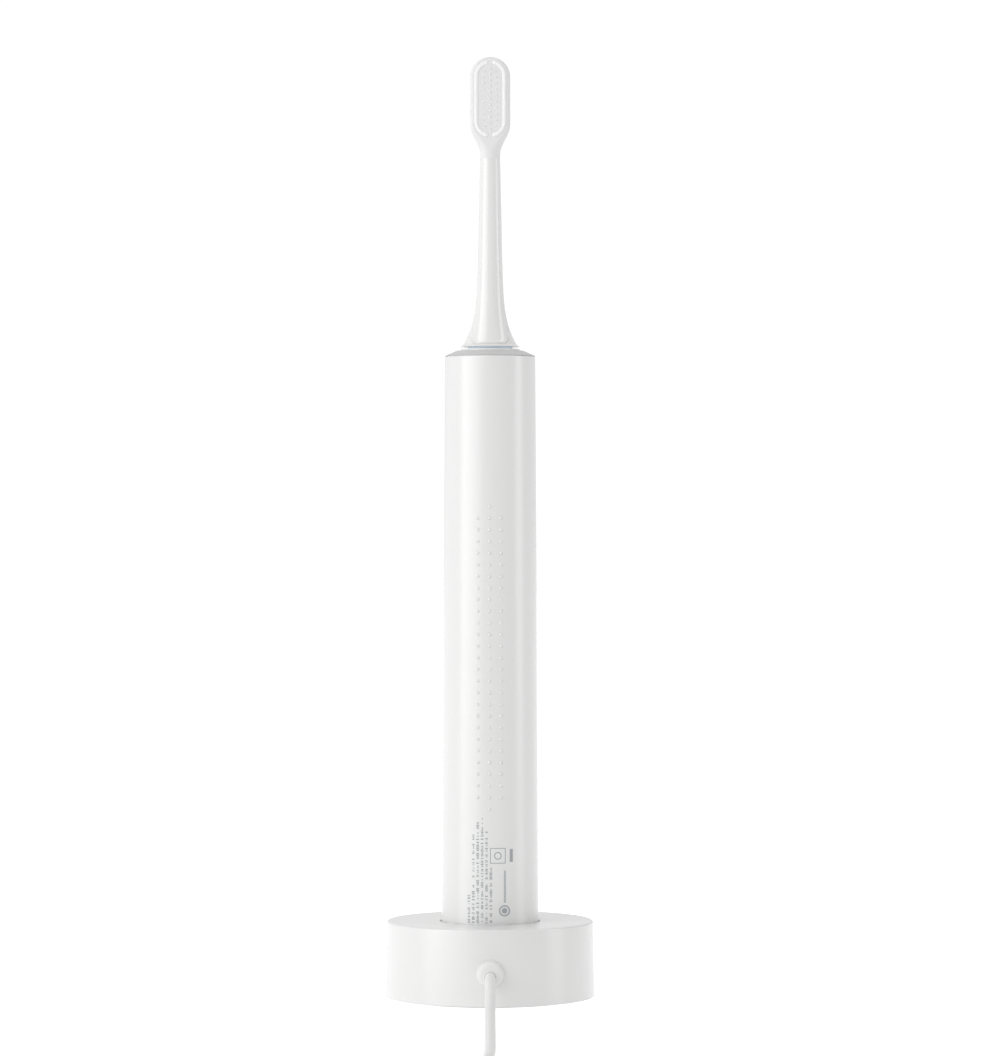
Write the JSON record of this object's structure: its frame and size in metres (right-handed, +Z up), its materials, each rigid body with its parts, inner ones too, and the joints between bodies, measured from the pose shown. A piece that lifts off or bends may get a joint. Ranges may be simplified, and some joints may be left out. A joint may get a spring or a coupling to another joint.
{
  "type": "electric toothbrush on charger",
  "caption": "Slim round sonic toothbrush with a pull-off bristle head and a press button, standing in a round puck charger with a thin coiled lead.",
  "frame": {"origin": "on the charger's axis, at the surface that its foot stands on", "axes": "+Z up along the brush; the bristles and the power button face +Y, the grip dots and the lead face -Y"},
  "size_m": [0.0714, 0.3, 0.2693],
  "materials": {
    "white_shell": "satin moulded ABS",
    "base_plate": "matt moulded ABS",
    "shoulder_grey": "satin moulded ABS",
    "collar_white": "polished moulded plastic",
    "foot_rubber": "matt silicone",
    "seal_rubber": "matt silicone",
    "cord_jacket": "soft PVC jacket",
    "tie_strap": "woven strap",
    "plug_steel": "nickel-plated sheet",
    "plug_tongue": "moulded nylon",
    "screw_steel": "zinc-plated steel",
    "board_green": "solder mask",
    "components": "moulded packages",
    "ferrite": "sintered ferrite",
    "winding": "enamelled copper wire",
    "inner_plastic": "moulded nylon",
    "cell_wrap": "shrink sleeve on a metal can",
    "nickel": "nickel strip",
    "light_pipe": "clear acrylic",
    "motor_steel": "drawn steel",
    "bearing_bronze": "sintered bronze",
    "neck_gloss": "polished moulded plastic",
    "head_matte": "matt soft-touch elastomer",
    "rib_white": "polished moulded plastic",
    "ring_blue": "blue-grey moulded plastic",
    "bristles": "nylon filaments"
  },
  "bodies": {
    "charger": {"charger_housing": "white_shell", "charger_base_plate": "base_plate", "foot_ring": "foot_rubber", "base_screws": "screw_steel", "charger_board": "board_green", "charger_board_parts": "components", "charger_ferrite": "ferrite", "coil_bobbin": "inner_plastic", "primary_coil": "winding", "cord_gland": "cord_jacket", "inner_lead": "cord_jacket", "cord_clamp": "inner_plastic", "charging_cord": "cord_jacket", "cord_coil": "cord_jacket", "cord_tie": "tie_strap", "cord_tail": "cord_jacket", "usb_strain_relief": "cord_jacket", "usb_plug_body": "cord_jacket", "usb_plug_shell": "plug_steel", "usb_plug_tongue": "plug_tongue"},
    "handle": {"handle_shell": "white_shell", "grip_dots": "white_shell", "handle_shoulder": "shoulder_grey", "handle_collar": "collar_white", "shaft_seal": "seal_rubber", "bottom_cap": "base_plate", "cap_seal": "seal_rubber", "secondary_coil": "winding", "secondary_ferrite": "ferrite", "inner_chassis": "inner_plastic", "battery_cell": "cell_wrap", "battery_contacts": "nickel", "main_board": "board_green", "board_parts": "components", "indicator_light": "light_pipe", "power_switch": "components", "motor_can": "motor_steel", "stator_coil": "winding", "shaft_bearings": "bearing_bronze", "motor_damper": "seal_rubber"},
    "power_button": {"button_cap": "collar_white", "button_plunger": "inner_plastic"},
    "drive": {"drive_shaft": "motor_steel", "rotor_core": "motor_steel", "rotor_magnets": "motor_steel"},
    "brush_head": {"head_core": "neck_gloss", "head_cover": "head_matte", "cover_ribs": "rib_white", "cover_dots": "head_matte", "head_ring": "ring_blue", "shaft_socket": "inner_plastic", "bristle_tufts": "bristles"}
  },
  "joints": [
    {"name": "handle_lift", "type": "slide", "parent": "charger", "child": "handle", "axis": [0, 0, 1], "range_m": [0, 0.05]},
    {"name": "button_press", "type": "slide", "parent": "handle", "child": "power_button", "axis": [0, -1, 0], "range_m": [0, 0.0005], "stiffness_N_per_m": 3000},
    {"name": "shaft_swing", "type": "hinge", "parent": "handle", "child": "drive", "pos_m": [0, 0, 0.18], "axis": [0, 0, 1], "range_deg": [-5.5, 5.5], "stiffness_Nm_per_rad": 0.02},
    {"name": "head_pull", "type": "slide", "parent": "drive", "child": "brush_head", "axis": [0, 0, 1], "range_m": [0, 0.025]}
  ]
}
